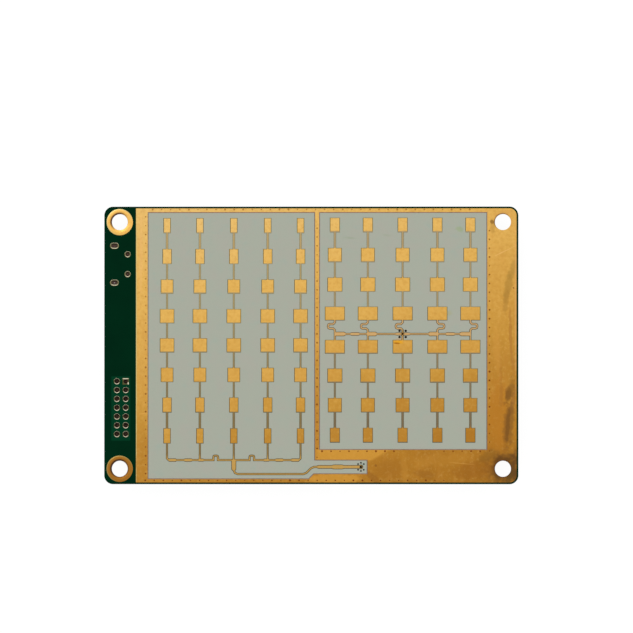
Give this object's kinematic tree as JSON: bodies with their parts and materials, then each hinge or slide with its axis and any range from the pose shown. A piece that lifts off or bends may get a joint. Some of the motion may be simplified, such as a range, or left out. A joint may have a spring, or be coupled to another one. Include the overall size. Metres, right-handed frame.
{
  "type": "radar sensor board",
  "caption": "Flat microwave radar sensor board with transmit and receive fields of series-fed patch antennas, a shielded circuit on its rear, a host header and a service port.",
  "frame": {"origin": "centre of the four mounting holes in the plane of the board's rear face", "axes": "+X towards the antenna end, away from the header; +Y up along the patch columns; +Z out of the antenna face, along its line of sight"},
  "size_m": [0.094, 0.063, 0.0059],
  "materials": {
    "laminate": "satin glass-weave laminate, green mask on the rear",
    "solder_mask": "dark green, glossy",
    "gold_copper": "gold-plated copper, slightly stained",
    "hole_plating": "gold-plated",
    "contact_gold": "gold-plated contact",
    "black_plastic": "moulded, matte",
    "port_steel": "bright tinned steel",
    "shield_tin": "satin tinned sheet",
    "chip_body": "moulded epoxy, matte",
    "lead_tin": "tinned",
    "crystal_can": "satin can",
    "tantalum_yellow": "moulded, satin",
    "ferrite": "moulded ferrite, matte",
    "capacitor_ceramic": "ceramic, satin",
    "resistor_coat": "glazed black"
  },
  "bodies": {
    "root": {"circuit_board": "laminate", "front_solder_mask": "solder_mask", "ground_copper": "gold_copper", "left_patch_array": "gold_copper", "right_patch_array": "gold_copper", "mounting_hole_plating": "hole_plating", "header_hole_plating": "hole_plating", "port_hole_plating": "hole_plating", "feed_vias": "hole_plating", "header_socket": "black_plastic", "header_contacts": "contact_gold", "port_shell": "port_steel", "port_insulator": "black_plastic", "port_contacts": "contact_gold", "shield_frame": "shield_tin", "shield_lid": "shield_tin", "radar_transceiver": "chip_body", "ramp_synthesizer": "chip_body", "reference_oscillator": "crystal_can", "signal_processor": "chip_body", "processor_leads": "lead_tin", "processor_crystal": "crystal_can", "baseband_amplifier_1": "chip_body", "amplifier_leads_1": "lead_tin", "baseband_amplifier_2": "chip_body", "amplifier_leads_2": "lead_tin", "flash_memory": "chip_body", "flash_leads": "lead_tin", "voltage_regulator_1": "chip_body", "regulator_1_leads": "lead_tin", "voltage_regulator_2": "chip_body", "regulator_2_leads": "lead_tin", "tantalum_1_capacitor": "tantalum_yellow", "tantalum_1_terminals": "lead_tin", "tantalum_2_capacitor": "tantalum_yellow", "tantalum_2_terminals": "lead_tin", "surge_protector": "chip_body", "surge_protector_leads": "lead_tin", "serial_bridge_chip": "chip_body", "power_inductor": "ferrite", "inductor_terminals": "lead_tin", "chip_capacitors": "capacitor_ceramic", "chip_resistors": "resistor_coat", "chip_terminals": "lead_tin"}
  },
  "joints": []
}
